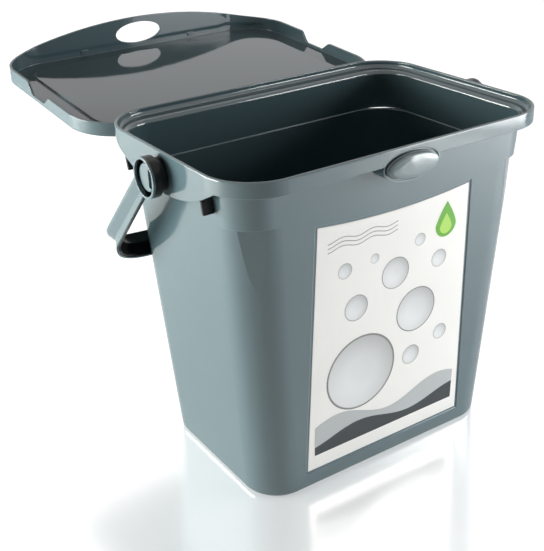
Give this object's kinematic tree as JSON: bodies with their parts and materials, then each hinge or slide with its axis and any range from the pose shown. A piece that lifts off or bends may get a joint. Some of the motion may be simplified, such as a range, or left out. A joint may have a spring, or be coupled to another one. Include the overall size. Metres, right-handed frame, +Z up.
{
  "type": "laundry powder container",
  "caption": "Tapered plastic tub for laundry powder with a hinged lid swung open behind it, a bail handle on side pivots, an oval latch button and a front label.",
  "frame": {"origin": "middle of the tub's underside, on the surface it stands on", "axes": "+Z up, +X to the right seen from the label side, +Y towards the hinge, so that the label faces -Y"},
  "size_m": [0.2752, 0.3687, 0.2621],
  "materials": {
    "tub": "satin, tinted grey-green",
    "label": "glossy printed film",
    "lid": "polished, grey-green",
    "strap": "satin, grey-green",
    "core": "black, slightly glossy"
  },
  "bodies": {
    "tub": {"tub": "tub", "label": "label", "pivot_bracket_left": "core", "pivot_bracket_right": "core"},
    "lid": {"lid": "lid"},
    "handle": {"handle_strap": "strap", "handle_core": "core"}
  },
  "joints": [
    {"name": "lid_hinge", "type": "hinge", "parent": "tub", "child": "lid", "pos_m": [0, 0.09255, 0.232], "axis": [1, 0, 0], "range_deg": [0, 175.8]},
    {"name": "handle_pivot", "type": "hinge", "parent": "tub", "child": "handle", "pos_m": [0, 0, 0.226], "axis": [1, 0, 0], "range_deg": [0, 38]}
  ]
}
